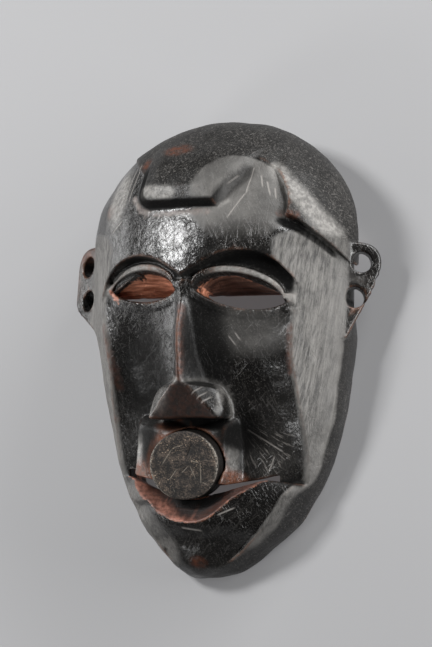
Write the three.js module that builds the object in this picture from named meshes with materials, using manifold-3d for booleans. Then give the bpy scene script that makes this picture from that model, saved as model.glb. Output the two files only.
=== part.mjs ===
// A carved wooden face mask with pierced ear tabs and a lip plug, lying on its back rim.
// Millimetres. The face is carved upright in its own frame (x across, y towards the crown, z out of
// the face) and the whole mask is then laid back so that the plane of its rim is the ground.

import * as THREE from 'three';
import { mergeVertices } from 'three/addons/utils/BufferGeometryUtils.js';
import Module from 'manifold-3d';

const wasm = await Module();
wasm.setup();

// Driving dimensions of the block.
const halfWidth = 84.5;
const crownRise = 93.5;
const chinDrop = 192;
const widestY = 10;
const blockDepth = 70;
const outlineZ = 5;
const fanBackDepth = 100;
const blankBackZ = -40;
const chinY = widestY - chinDrop;

// The rim is one plane that leans from the chin back towards the crown.
const rimLean = THREE.MathUtils.degToRad(4.5);
const rimAtChinZ = -1;

// Wall and openings.
const sideWall = 8;
const crownWall = 12;
const cheekWall = 7;
const hollowDepth = 58;
const browShelfZ = 30;
const browShelfY = -11;
const eyeInnerX = 6.5;
const eyeOuterX = 59;
const eyeY = -12.7;
const mouthHalfWidth = 51;
const mouthCornerY = -120;
const mouthMiddleY = -129;
const lowerLipY = -152.5;
const lowerLipX = 4;
const leftLipPower = 1.4;
const rightLipPower = 3;

// Lip plug, a stubby cylinder a little wider than high, tipped down and to one side.
const plugAt = new THREE.Vector3(1, -119.5, 48);
const plugRadius = 22.4;
const plugFlattening = 21.2 / 22.4;
const plugLength = 17;
const plugTurn = THREE.MathUtils.degToRad(5);
const plugTip = THREE.MathUtils.degToRad(14);
const plugGap = 0.8;
const plugChamfer = 1;

// Ear tabs, swept back from the sides of the head.
const rightTabRootX = 84.5;
const leftTabRootX = 88.5;
const tabRootZ = 12;
const tabSweep = THREE.MathUtils.degToRad(31);
const tabReach = 22;
const tabHalfHeight = 27;
const tabDrop = 34;
const tabThickness = 9;
const tabHoleRadius = 6.5;
const tabHoles = [[9.5, 14.6], [6.6, -7.8]];

// How finely the faceted surfaces are cut.
const spokes = 76;
const rings = 36;
const hollowSpokes = 48;
const hollowRings = 17;

const clamp01 = (v) => Math.min(1, Math.max(0, v));

function ease(v, from, to) {
  const t = clamp01((v - from) / (to - from));
  return t * t * (3 - 2 * t);
}

function softMin(a, b, radius) {
  const h = clamp01(0.5 + (0.5 * (b - a)) / radius);
  return b + (a - b) * h - radius * h * (1 - h);
}

function softMax(a, b, radius) {
  return -softMin(-a, -b, radius);
}

// A smooth curve through a few [position, value] points.
function through(points) {
  const secants = points.slice(1).map(([x, y], i) => (y - points[i][1]) / (x - points[i][0]));
  const slopes = points.map((_, i) => {
    if (i === 0) return secants[0];
    if (i === points.length - 1) return secants[i - 1];
    return (secants[i - 1] + secants[i]) / 2;
  });
  return (v) => {
    let i = 0;
    while (i < points.length - 2 && v > points[i + 1][0]) i += 1;
    const width = points[i + 1][0] - points[i][0];
    const t = clamp01((v - points[i][0]) / width);
    const s = 1 - t;
    return (
      (1 + 2 * t) * s * s * points[i][1] + t * s * s * width * slopes[i]
      + t * t * (3 - 2 * t) * points[i + 1][1] - t * t * s * width * slopes[i + 1]
    );
  };
}

// The two sides are not alike: the left one is fuller at the crown, the right one at the jaw.
const leftCut = through([
  [chinY, 0.4], [-170, 0.38], [-159, 0.33], [-146, 0.235], [-133, 0.155], [-121, 0.125], [-96, 0.1],
  [-68, 0.055], [-46, 0.01], [-26, -0.03], [10, -0.05], [45, -0.07], [64, -0.06], [79, -0.045],
  [90, 0], [100, 0.02],
]);
const rightCut = through([
  [chinY, 0.15], [-172, 0.06], [-165, 0], [-153, -0.07], [-138, -0.09], [-100, -0.085],
  [-80, -0.068], [-60, -0.05], [-32, -0.028], [0, -0.01], [25, 0],
]);

function fromAxis(x, y) {
  return Math.abs(x) * (1 + (x < 0 ? leftCut(y) : rightCut(y)));
}

// Egg outline seen from the front: 0 on its axis, 1 on the outline.
const eggPower = 2.25;

function egg(x, y, wall = 0, endWall = 0) {
  const reach = y > widestY ? crownRise - endWall : chinDrop - endWall;
  const along = Math.abs(y - widestY) / reach;
  return ((fromAxis(x, y) / (halfWidth - wall)) ** eggPower + along ** eggPower) ** (1 / eggPower);
}

// The block: an egg-shaped dome with a flatter band cut along its sides.
const domePower = through([[chinY, 2], [-100, 1.92], [-50, 1.85], [0, 1.85], [40, 1.95], [100, 2.05]]);
const backDepth = through([[-34, 120], [-6, 60], [30, 60], [90, 100]]);
const bandAcross = 0.81;
const bandForward = 0.585;
const bandOffset = 76.5;
const bandFade = 12;
const bandChinFade = 3;

function block(x, y, z) {
  const m = domePower(y);
  const rho = egg(x, y);
  const front = Math.max(z - outlineZ, 0) / (blockDepth - outlineZ);
  const back = Math.max(outlineZ - z, 0) / backDepth(y);
  const dome = blockDepth * ((rho ** m + front ** m) ** (1 / m) - 1 + back * back);
  const offset = bandOffset + bandFade * ease(y, 15, 45) + bandChinFade * ease(-y, 122, 136);
  const band = bandAcross * halfWidth * rho + bandForward * z - offset;
  return softMax(dome, band, 1.5);
}

// Hair: a low cap with a tongue over the forehead and a lobe at the right temple.
const capRaise = 1.3;
const tongueRaise = 5.2;
const lobeRaise = 3.4;

function hair(x, y) {
  const arch = Math.hypot((x - 30 + 0.15 * (y - 44)) / 28, (y - 44) / 28.5) - 1;
  const temple = Math.hypot((x + 60) / 27, (y - 40) / 30) - 1;
  const right = x > 25;
  const overhang = Math.max(x - 51, 0);
  const lower = right ? 35.5 - 0.12 * overhang - 0.012 * overhang ** 2 : 37.5;
  const above = right ? ease(y, lower - 0.5, lower + 2.5) : ease(y, lower, lower + 6);
  const cap = capRaise * ease(arch, -0.02, 0.05) * ease(temple, -0.05, 0.08) * above;
  const tongue = ease(x, -37, -31) * (1 - ease(x, 14, 27)) * ease(y, 37.5, 43.5) * (1 - ease(y, 58, 88));
  const lobe = ease(x, 50, 55) * above * (1 - ease(y, 50, 85)) * ease(arch, -0.02, 0.06);
  return cap + tongueRaise * tongue + lobeRaise * lobe;
}

// Cheeks: a shallow valley from the nose out to the side band, hollowed under the brow.
const cheekNear = through([[-130, 32], [-104, 34], [-76, 40], [-50, 50], [-13, 61], [15, 66]]);
const cheekMid = through([[-130, 20], [-104, 23], [-76, 29], [-50, 38], [-13, 50], [15, 55]]);
const cheekEdge = through([[-130, 14], [-104, 21], [-76, 31], [-50, 39], [-13, 40], [15, 38]]);
const cheekNearX = 8;
const cheekMidX = 36;
const cheekEdgeX = 65;

function cheek(x, y) {
  const near = cheekNear(y);
  const t = (Math.abs(x) - cheekNearX) / (cheekMidX - cheekNearX);
  const edgeT = (cheekEdgeX - cheekNearX) / (cheekMidX - cheekNearX);
  const rise = cheekMid(y) - near;
  const bend = (cheekEdge(y) - near - rise * edgeT) / (edgeT * (edgeT - 1));
  return near + rise * t + bend * t * (t - 1);
}

const browRight = through([[0, -6], [10, 0], [22, 7], [38, 11], [52, 9], [62, 2], [72, -10]]);
const browLeft = through([[0, -6], [10, 0], [22, 6], [38, 8.5], [52, 5], [62, -2], [72, -12]]);

function brow(x) {
  return x > 0 ? browRight(x) : browLeft(-x);
}

// Eye slits: the right one hangs a little lower at its outer corner.
function eye(x) {
  const t = clamp01((Math.abs(x) - eyeInnerX) / (eyeOuterX - eyeInnerX));
  const drop = (x > 0 ? 5 : -3.5) * t;
  const bow = 4 * t * (1 - t);
  const top = eyeY - drop + (x > 0 ? 12 : 11) * bow ** 0.6;
  const bottom = eyeY - drop - 7 * bow ** 0.8;
  return { top, bottom };
}

// Mouth: 0 at its corners, 1 at its middle.
function fromCorner(x) {
  return clamp01(1 - (x / mouthHalfWidth) ** 2);
}

function mouthTop(x) {
  return mouthCornerY + (mouthMiddleY - mouthCornerY) * fromCorner(x) ** 1.5;
}

// Nose: a narrow ridge that widens to two rounded wings and a flat base.
const noseRidge = through([[-92, 50], [-80, 55], [-68, 61.5], [-40, 67.5], [-14, 66], [0, 66]]);
const noseSlope = through([[-90, 0.3], [-78, 0.5], [-66, 1.2], [-50, 1.9], [-30, 1.7], [-14, 0.9], [0, 0.6]]);
const noseHalf = through([[-92, 22.5], [-84, 23.5], [-76, 21], [-70, 15], [-65, 12], [-14, 12]]);
const noseBaseY = -89;
const noseTopY = 2;

function nose(x, y, z) {
  const a = Math.abs(x);
  const top = (z - noseRidge(y) + noseSlope(y) * (Math.hypot(a, 2) - 2)) * 0.6;
  const side = (a - noseHalf(y)) * 0.9 - (z - 40) * 0.12;
  const base = noseBaseY - y - 0.15 * (z - 40);
  const wedge = softMax(softMax(top, side, 4), base, 2);
  const wing = softMax(11 * Math.hypot((a - 13.5) / 10.5, (y + 80) / 11.5, (z - 42) / 12.5) - 11, base, 2);
  return softMax(softMin(wedge, wing, 5), y - noseTopY, 2);
}

// Upper lip: a pad with straight sides that carries the plug. Lower lip: a short full roll.
const lipPadZ = 41.5;
const lipPadLeftX = -41;
const lipPadLowY = -140;

function upperLip(x, y, z) {
  const rightFacet = 0.92 * (x - 22.5) + 0.39 * (z - 40);
  const leftFacet = -0.5 * (x + 40) + 0.87 * (z - 33);
  const upperFacet = 0.8 * (y + 92.5) + 0.6 * (z - 38);
  const sides = softMax(rightFacet, softMax(leftFacet, lipPadLeftX - x, 5), 4);
  const ends = softMax(upperFacet, lipPadLowY - y, 5);
  return softMax(softMax(sides, ends, 5), z - lipPadZ + 0.004 * x * x, 3);
}

function lowerLip(x, y, z) {
  return (Math.hypot((x - 2) / 33, (y + 148) / 12, Math.max(z - 20, 0) / 22) - 1) * 14;
}

// Chin: its face is cut back a little inside the jaw band.
const jawEdge = through([[chinY, 4], [-178, 15], [-162, 35], [-133, 53], [-118, 63]]);
const chinCut = 1.3;

function chin(x, y) {
  const inside = (jawEdge(y) - fromAxis(x, y)) * 0.8;
  const alongJaw = ease(y, -176, -166) * (1 - ease(y, -128, -118));
  return chinCut * ease(inside, -2, 3) * (1 - ease(inside, 3, 20)) * alongJaw;
}

// The carved outside of the whole head, negative in the wood.
function outside(x, y, z) {
  const dome = block(x, y, z) - hair(x, y) + chin(x, y);
  const underBrow = softMax(cheek(x, y) - z, y - brow(x) - 0.15 * (z - 60), 5);
  const midface = softMax(underBrow, mouthTop(x) - 1 - y, 3);
  let wood = softMax(dome, -midface, 1);
  wood = softMin(wood, nose(x, y, z), 4);
  wood = softMin(wood, upperLip(x, y, z), 4);
  wood = softMin(wood, lowerLip(x, y, z), 7);
  return Math.max(wood, blankBackZ - z);
}

// The hollow behind the face.
const hollowFloor = through([
  [chinY, 2], [-150, 18], [-120, 19], [-76, 26], [-50, 33], [-18, 40], [40, 40], [100, 20],
]);
const hollowPower = 2.2;
const hollowBack = 45;

function hollow(x, y, z) {
  const rho = egg(x, y, sideWall, crownWall);
  const front = (Math.max(z, -5) + 5) / hollowDepth;
  const bowl = hollowDepth * ((rho ** hollowPower + front ** hollowPower) ** (1 / hollowPower) - 1);
  const face = z - Math.min(hollowFloor(y), cheek(x, y) - cheekWall);
  return Math.max(softMax(bowl, face, 5), -z - hollowBack);
}

// A closed geometry as a solid that can be joined and cut.
function solidOf(geometry) {
  const bare = geometry.clone();
  bare.deleteAttribute('normal');
  bare.deleteAttribute('uv');
  const merged = mergeVertices(bare, 1e-3);
  return new wasm.Manifold(new wasm.Mesh({
    numProp: 3,
    vertProperties: new Float32Array(merged.attributes.position.array),
    triVerts: new Uint32Array(merged.index.array),
  }));
}

function geometryOf(solid) {
  const mesh = solid.getMesh();
  const geometry = new THREE.BufferGeometry();
  geometry.setAttribute('position', new THREE.BufferAttribute(mesh.vertProperties, 3));
  geometry.setIndex(new THREE.BufferAttribute(mesh.triVerts, 1));
  geometry.computeVertexNormals();
  return geometry;
}

function geometryFrom(points, triangles) {
  const geometry = new THREE.BufferGeometry();
  geometry.setAttribute('position', new THREE.Float32BufferAttribute(points.flat(), 3));
  geometry.setIndex(triangles);
  return geometry;
}

// Outermost point of a carved field along a ray from a centre inside it.
const farOut = 190;
const marchStep = 1.5;

function surfacePoint(field, centre, direction, start = farOut) {
  const at = (r) => centre.clone().addScaledVector(direction, r);
  const value = (r) => {
    const p = at(r);
    return field(p.x, p.y, p.z);
  };
  let r = start;
  while (r < farOut && value(r) <= 0) r += marchStep;
  while (r > 2 * marchStep && value(r) > 0) r -= marchStep;
  let low = r;
  let high = r + marchStep;
  for (let i = 0; i < 14; i += 1) {
    const middle = (low + high) / 2;
    if (value(middle) > 0) high = middle;
    else low = middle;
  }
  return at(low).toArray();
}

// A closed surface cut by rays that fan out from a centre. Each spoke runs over the dome from front
// to back, and its points lie at even distances along the carved surface.
const fanCentre = new THREE.Vector3(0, -40, 0);
const trialsPerRing = 4;
const neighbourRise = 14;
const coarseBelowZ = -14;
const coarseShare = 0.15;

function spokePoints(field, edge, ringCount) {
  const target = new THREE.Vector3();
  const cast = (angle, start) => {
    const depth = Math.cos(angle) > 0 ? blockDepth : fanBackDepth;
    target.lerpVectors(fanCentre, edge, Math.sin(angle)).setZ(depth * Math.cos(angle));
    return surfacePoint(field, fanCentre, target.clone().sub(fanCentre).normalize(), start);
  };
  const reachOf = (point) => fanCentre.distanceTo(new THREE.Vector3(...point));
  const count = ringCount * trialsPerRing;
  const trials = [cast(0, farOut)];
  const lengths = [0];
  for (let i = 1; i <= count; i += 1) {
    const before = trials[i - 1];
    const point = cast((Math.PI * i) / count, reachOf(before) + neighbourRise);
    const step = Math.hypot(...point.map((c, axis) => c - before[axis]));
    trials.push(point);
    lengths.push(lengths[i - 1] + step * (point[2] < coarseBelowZ ? coarseShare : 1));
  }
  const points = [trials[0]];
  let i = 0;
  for (let k = 1; k < ringCount; k += 1) {
    const wanted = (lengths[count] * k) / ringCount;
    while (lengths[i + 1] < wanted) i += 1;
    const t = (wanted - lengths[i]) / (lengths[i + 1] - lengths[i]);
    points.push(cast((Math.PI * (i + t)) / count, reachOf(trials[i]) + neighbourRise));
  }
  return [...points, trials[count]];
}

function carvedGeometry(field, ringCount, around) {
  const outline = Array.from({ length: around }, (_, j) => {
    const angle = (2 * Math.PI * j) / around;
    const direction = new THREE.Vector3(Math.sin(angle), Math.cos(angle), 0);
    return new THREE.Vector3(...surfacePoint((x, y) => egg(x, y) - 1, fanCentre, direction));
  });
  const spokesOfPoints = outline.map((edge) => spokePoints(field, edge, ringCount));
  const points = [spokesOfPoints[0][0]];
  for (let k = 1; k < ringCount; k += 1) spokesOfPoints.forEach((spoke) => points.push(spoke[k]));
  points.push(spokesOfPoints[0][ringCount]);
  const triangles = [];
  const at = (k, j) => 1 + (k - 1) * around + (j % around);
  const last = points.length - 1;
  const miss = (a, b) => {
    const middle = points[a].map((c, i) => (c + points[b][i]) / 2);
    return Math.abs(field(...middle));
  };
  for (let j = 0; j < around; j += 1) {
    triangles.push(0, at(1, j + 1), at(1, j));
    for (let k = 1; k < ringCount - 1; k += 1) {
      const [a, b, c, d] = [at(k, j), at(k, j + 1), at(k + 1, j + 1), at(k + 1, j)];
      if (miss(a, c) < miss(b, d)) triangles.push(a, b, c, a, c, d);
      else triangles.push(a, b, d, b, c, d);
    }
    triangles.push(last, at(ringCount - 1, j), at(ringCount - 1, j + 1));
  }
  return geometryFrom(points, triangles);
}

// A slot with a top and a bottom height at each place across it, cut through several depths.
function slotGeometry(across, depths, edgesAt) {
  const points = [];
  depths.forEach((z) => across.forEach((x) => {
    const { top, bottom } = edgesAt(x, z);
    points.push([x, top, z], [x, bottom, z]);
  }));
  const n = across.length;
  const at = (layer, i, lower) => 2 * (layer * n + i) + lower;
  const triangles = [];
  const quad = (a, b, c, d) => triangles.push(a, b, c, a, c, d);
  const end = depths.length - 1;
  for (let i = 0; i < n - 1; i += 1) {
    quad(at(0, i, 1), at(0, i, 0), at(0, i + 1, 0), at(0, i + 1, 1));
    quad(at(end, i, 0), at(end, i, 1), at(end, i + 1, 1), at(end, i + 1, 0));
    for (let layer = 0; layer < end; layer += 1) {
      quad(at(layer, i, 0), at(layer + 1, i, 0), at(layer + 1, i + 1, 0), at(layer, i + 1, 0));
      quad(at(layer, i, 1), at(layer, i + 1, 1), at(layer + 1, i + 1, 1), at(layer + 1, i, 1));
    }
  }
  for (let layer = 0; layer < end; layer += 1) {
    quad(at(layer, 0, 0), at(layer, 0, 1), at(layer + 1, 0, 1), at(layer + 1, 0, 0));
    quad(at(layer, n - 1, 1), at(layer, n - 1, 0), at(layer + 1, n - 1, 0), at(layer + 1, n - 1, 1));
  }
  return geometryFrom(points, triangles);
}

const cornerGap = 0.3;

function spread(from, to, count) {
  return Array.from({ length: count + 1 }, (_, i) => {
    const t = (1 - Math.cos((Math.PI * i) / count)) / 2;
    return from + (to - from) * t;
  });
}

// The slit narrows inwards from the lid's arch to a straight edge on the brow shelf.
function eyeSlit(side) {
  const across = spread(side > 0 ? eyeInnerX : -eyeOuterX, side > 0 ? eyeOuterX : -eyeInnerX, 14);
  return slotGeometry(across, [0, browShelfZ + 1, 51, 80], (x, z) => {
    const { top, bottom } = eye(x);
    const inner = z < 51 ? Math.min(top, browShelfY - 1) : top;
    return { top: Math.max(inner, bottom + cornerGap) + cornerGap, bottom };
  });
}

// The mouth slit. Its lower side is one broad bevel that opens outwards to the lower lip, and its
// upper side flares inwards below the lip pad and outwards in front of the plug.
const mouthBevel = 1.25;
const slitHeight = 3.4;
const slitHeightAddedLeft = 2.6;
const innerFlare = 0.25;
const innerFlareZ = 34;
const outerFlare = 0.3;
const outerFlareZ = 42;

function mouthSlit() {
  const across = spread(-mouthHalfWidth, mouthHalfWidth, 22);
  return slotGeometry(across, [-5, 12, 20, 26, 32, 38, 44, 64], (x, z) => {
    const middle = fromCorner(x);
    const round = Math.max(0, 1 - ((x - lowerLipX) / (mouthHalfWidth + 1)) ** 2);
    const bow = round ** (x > lowerLipX ? rightLipPower : leftLipPower);
    const lipY = mouthCornerY - 1 + (lowerLipY - mouthCornerY + 1) * bow;
    const lipZ = 24 + 17 * middle;
    const height = slitHeight + slitHeightAddedLeft * ease(-x, 8, 26);
    const sill = mouthTop(x) - cornerGap - height * middle;
    const bottom = Math.min(sill, lipY + mouthBevel * (lipZ - z));
    const inwards = innerFlare * Math.max(innerFlareZ - z, 0) * middle;
    const outwards = outerFlare * Math.max(z - outerFlareZ, 0);
    return { top: mouthTop(x) + inwards + outwards + cornerGap, bottom };
  });
}

// The plug and its socket share one turned profile.
function plugGeometry(gap, length) {
  const r = plugRadius + gap;
  const profile = [
    [0, -length], [r - plugChamfer, -length], [r, plugChamfer - length], [r, -plugChamfer + gap],
    [r - plugChamfer, gap], [0, gap],
  ].map(([x, y]) => new THREE.Vector2(x, y));
  return new THREE.LatheGeometry(profile, 48).rotateX(Math.PI / 2).scale(1, plugFlattening, 1);
}

function placePlug(target) {
  target.rotation.set(plugTip, plugTurn, 0, 'YXZ');
  target.position.copy(plugAt);
  target.updateMatrix();
  return target;
}

// An ear tab: flat on top, rounded at its tip, cut away below, pierced twice. The left one is fuller.
function tabGeometry(side, rise) {
  const outline = new THREE.Shape();
  outline.moveTo(-12, tabHalfHeight);
  outline.lineTo(tabReach - 9, tabHalfHeight);
  outline.absarc(tabReach - 9, tabHalfHeight - 9, 9, Math.PI / 2, 0, true);
  if (side > 0) {
    outline.lineTo(tabReach, 7);
    outline.quadraticCurveTo(tabReach - 1, 4, tabReach - 3.6, 0);
    outline.lineTo(3.2, -tabDrop);
  } else {
    outline.lineTo(tabReach, -8);
    outline.quadraticCurveTo(tabReach, -11, tabReach - 3, -13.2);
  }
  outline.lineTo(-12, -tabDrop);
  outline.closePath();
  tabHoles.forEach(([x, y]) => {
    const hole = new THREE.Path();
    hole.absarc(x, y, tabHoleRadius, 0, 2 * Math.PI, false);
    outline.holes.push(hole);
  });
  const tab = new THREE.ExtrudeGeometry(outline, { depth: tabThickness, bevelEnabled: false, curveSegments: 9 });
  tab.translate(0, rise, -tabThickness);
  tab.rotateY(tabSweep).translate(side > 0 ? rightTabRootX : leftTabRootX, 0, tabRootZ + 2);
  if (side > 0) return tab;
  tab.scale(-1, 1, 1);
  const index = mergeVertices(tab.deleteAttribute('normal').deleteAttribute('uv'), 1e-3);
  const order = index.index.array;
  for (let i = 0; i < order.length; i += 3) [order[i], order[i + 1]] = [order[i + 1], order[i]];
  return index;
}

const leftTabRise = 1.5;
const rightTabRise = -1;

// The wood behind the brow stays thick, with a straight shelf on its underside.
function maskGeometry() {
  let mask = solidOf(carvedGeometry(outside, rings, spokes));
  mask = mask.add(solidOf(tabGeometry(1, rightTabRise))).add(solidOf(tabGeometry(-1, leftTabRise)));
  const thickBrow = new THREE.BoxGeometry(240, 200, 100).translate(0, browShelfY + 100, browShelfZ + 50);
  mask = mask.subtract(solidOf(carvedGeometry(hollow, hollowRings, hollowSpokes)).subtract(solidOf(thickBrow)));
  mask = mask.subtract(solidOf(eyeSlit(1))).subtract(solidOf(eyeSlit(-1)));
  mask = mask.subtract(solidOf(mouthSlit()));
  const socket = placePlug(new THREE.Object3D());
  mask = mask.subtract(solidOf(plugGeometry(plugGap, plugLength + plugGap).applyMatrix4(socket.matrix)));
  const ground = new THREE.BoxGeometry(400, 800, 200).translate(0, 0, -100);
  const lean = new THREE.Matrix4().makeRotationX(-rimLean).setPosition(0, chinY, rimAtChinZ);
  return geometryOf(mask.subtract(solidOf(ground.applyMatrix4(lean))));
}

const blackWood = new THREE.MeshStandardMaterial({ color: 0x1b1917, roughness: 0.35, metalness: 0 });
const greyWood = new THREE.MeshStandardMaterial({ color: 0x3d3730, roughness: 0.75, metalness: 0 });

const mask = new THREE.Mesh(maskGeometry(), blackWood);
mask.name = 'mask';

const plug = placePlug(new THREE.Mesh(plugGeometry(0, plugLength), greyWood));
plug.name = 'lip_plug';

// Laid back on its rim, with the origin under the middle of the whole mask.
const face = new THREE.Group();
face.add(mask, plug);
face.rotation.x = rimLean;
face.updateMatrixWorld(true);
const extent = new THREE.Box3().setFromObject(face, true);
const middle = extent.getCenter(new THREE.Vector3());
face.position.set(-middle.x, -middle.y, -extent.min.z);

const group = new THREE.Group();
group.add(face);

export default group;
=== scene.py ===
import math

import bpy
import numpy as np
from mathutils import Matrix, Vector


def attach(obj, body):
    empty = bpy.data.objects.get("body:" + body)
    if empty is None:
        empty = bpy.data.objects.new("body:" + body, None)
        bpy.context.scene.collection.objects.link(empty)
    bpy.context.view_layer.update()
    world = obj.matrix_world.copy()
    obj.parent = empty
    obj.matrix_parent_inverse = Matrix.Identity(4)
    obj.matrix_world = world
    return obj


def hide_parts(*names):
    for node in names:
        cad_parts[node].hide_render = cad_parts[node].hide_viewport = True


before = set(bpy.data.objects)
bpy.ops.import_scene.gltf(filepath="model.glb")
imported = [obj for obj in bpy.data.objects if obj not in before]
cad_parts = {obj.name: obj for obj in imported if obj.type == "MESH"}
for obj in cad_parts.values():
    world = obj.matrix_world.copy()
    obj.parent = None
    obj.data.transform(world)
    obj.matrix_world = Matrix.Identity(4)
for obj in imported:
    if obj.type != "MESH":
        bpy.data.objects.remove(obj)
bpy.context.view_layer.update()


# The mask
# One block of dark hardwood, carved to a hollow face with ear tabs and blackened by long use.
# It is shaped by cutting and joining soft forms in millimetres: x across the face, y towards the
# crown, f out of the face. Laid on its rim, the face leans a few degrees towards the chin.
HALF_WIDTH = 84.5
CROWN_RISE = 93.5
CHIN_DROP = 192.0
WIDEST_Y = 10.0
BLOCK_DEPTH = 70.0
OUTLINE_F = 5.0
BACK_DEPTH = ((-34, 120), (-6, 60), (30, 60), (90, 100))
EGG_POWER = 2.25
LEFT_CUT = ((-182, 0.4), (-170, 0.38), (-159, 0.33), (-146, 0.235), (-133, 0.155), (-121, 0.125),
            (-96, 0.1), (-68, 0.055), (-46, 0.01), (-26, -0.03), (10, -0.05), (45, -0.07), (64, -0.06),
            (79, -0.045), (90, 0.0), (100, 0.02))
RIGHT_CUT = ((-182, 0.15), (-172, 0.06), (-165, 0.0), (-153, -0.07), (-138, -0.09), (-100, -0.085),
             (-80, -0.068), (-60, -0.05), (-32, -0.028), (0, -0.01), (25, 0.0))

RIM_LEAN = math.radians(4.5)
RIM_CHIN = (-182.0, -1.0)
LYING_SHIFT_X = 2.0
LYING_SHIFT_Y = 38.595

SIDE_WALL = 8.0
CROWN_WALL = 12.0
CHEEK_WALL = 7.0
HOLLOW_DEPTH = 58.0
BROW_SHELF = (-11.0, 30.0)

EYE_INNER = 6.5
EYE_OUTER = 59.0
EYE_Y = -12.7
MOUTH_HALF = 51.0
MOUTH_CORNER_Y = -120.0
MOUTH_MIDDLE_Y = -129.0
MOUTH_DROOP = 5.0
LOWER_LIP_Y = -152.5
LOWER_LIP_X = 4.0

PLUG_AT = (1.0, -119.5, 48.0)
PLUG_RADII = (22.4, 21.2)
PLUG_TURN = math.radians(5.0)
PLUG_TIP = math.radians(-14.0)
PLUG_LENGTH = 17.0
SOCKET_GAP = 0.8

TAB_ROOT_F = 12.0
TAB_ROOT_LEFT = 88.5
TAB_ROOT_RIGHT = 84.5
TAB_SWEEP = math.radians(31.0)
TAB_REACH = 22.0
TAB_HALF_HEIGHT = 27.0
TAB_THICKNESS = 9.0
TIE_HOLE_RADIUS = 6.5
TIE_HOLES = ((9.5, 14.6), (6.6, -7.8))

CARVING_PITCH = 1.0
MASK_TRIANGLES = 190000


def blend_min(a, b, radius):
    """The lower of two forms, melted into each other over a radius."""
    h = np.clip(0.5 + 0.5 * (b - a) / radius, 0, 1)
    return b + (a - b) * h - radius * h * (1 - h)


def blend_max(a, b, radius):
    return -blend_min(-a, -b, radius)


def ramp(v, start, end):
    """0 at start, 1 at end, eased at both."""
    t = np.clip((v - start) / (end - start), 0, 1)
    return t * t * (3 - 2 * t)


def through(v, points):
    """A smooth curve through a few (place, value) points."""
    xs = np.array([p[0] for p in points], float)
    ys = np.array([p[1] for p in points], float)
    secants = np.diff(ys) / np.diff(xs)
    slopes = np.concatenate([[secants[0]], (secants[:-1] + secants[1:]) / 2, [secants[-1]]])
    i = np.clip(np.searchsorted(xs, v) - 1, 0, len(xs) - 2)
    width = xs[i + 1] - xs[i]
    t = np.clip((v - xs[i]) / width, 0, 1)
    s = 1 - t
    start = (1 + 2 * t) * s * s * ys[i] + t * s * s * width * slopes[i]
    return start + t * t * (3 - 2 * t) * ys[i + 1] - t * t * s * width * slopes[i + 1]


def from_axis(x, y):
    """Distance from the middle: the left side is fuller at the crown, the right one at the jaw."""
    return np.abs(x) * (1 + np.where(x < 0, through(y, LEFT_CUT), through(y, RIGHT_CUT)))


def egg(x, y, wall=0.0, end_wall=0.0):
    """0 on the axis of the face, 1 on its egg-shaped outline seen from the front."""
    rise = CROWN_RISE - end_wall
    drop = CHIN_DROP - end_wall
    along = np.where(y > WIDEST_Y, (y - WIDEST_Y) / rise, (WIDEST_Y - y) / drop)
    across = from_axis(x, y) / (HALF_WIDTH - wall)
    return (across ** EGG_POWER + along ** EGG_POWER) ** (1 / EGG_POWER)


def side_cut(x, y, f):
    """Over 0 outside the flat bevel that runs down both sides of the head to the chin."""
    return 0.81 * HALF_WIDTH * egg(x, y) + 0.585 * f - 76.5 - 12 * ramp(y, 15, 45) - 3 * ramp(-y, 122, 136)


def block(x, y, f):
    """The blank: an egg-shaped dome with a bevel cut along its sides."""
    power = through(y, [(-182, 2.0), (-100, 1.92), (-50, 1.85), (0, 1.85), (40, 1.95), (100, 2.05)])
    rho = egg(x, y)
    front = np.maximum(f - OUTLINE_F, 0) / (BLOCK_DEPTH - OUTLINE_F)
    back = np.maximum(OUTLINE_F - f, 0) / through(y, BACK_DEPTH)
    dome = BLOCK_DEPTH * ((rho ** power + front ** power) ** (1 / power) - 1 + back * back)
    return blend_max(dome, side_cut(x, y, f), 1.2)


def outside_arch(x, y):
    """Under 0 on the bald arch over the right half of the forehead."""
    return np.hypot((x - 31 + 0.1 * (y - 44)) / 28.5, (y - 43) / 29.5) - 1


def hairline(x):
    """Lower edge of the hair across the forehead and both temples."""
    left = 37.0 + 0.3 * np.minimum(x + 36, 0)
    right = 35.5 - 0.1 * np.maximum(x - 53, 0) - 0.018 * np.maximum(x - 53, 0) ** 2
    return np.where(x < 38, left, right)


def into_tongue(x, y):
    """How far a place is inside the edge of the tongue of hair over the middle of the forehead."""
    lower_left = 13.0 - np.hypot(np.maximum(-24 - x, 0), np.maximum(51 - y, 0))
    return np.minimum(lower_left, (24 + 0.5 * (y - 45) - x) * 0.9)


def left_temple(y):
    """How far to the left the hair of the forehead reaches."""
    return -38 - 1.1 * np.maximum(y - 62, 0)


def undercut(x, y):
    """The groove under the lobe of hair at the right temple."""
    return np.exp(-((y - hairline(x) + 4.0) / 3.0) ** 2) * ramp(x, 50, 58) * (1 - ramp(x, 77, 84))


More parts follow.
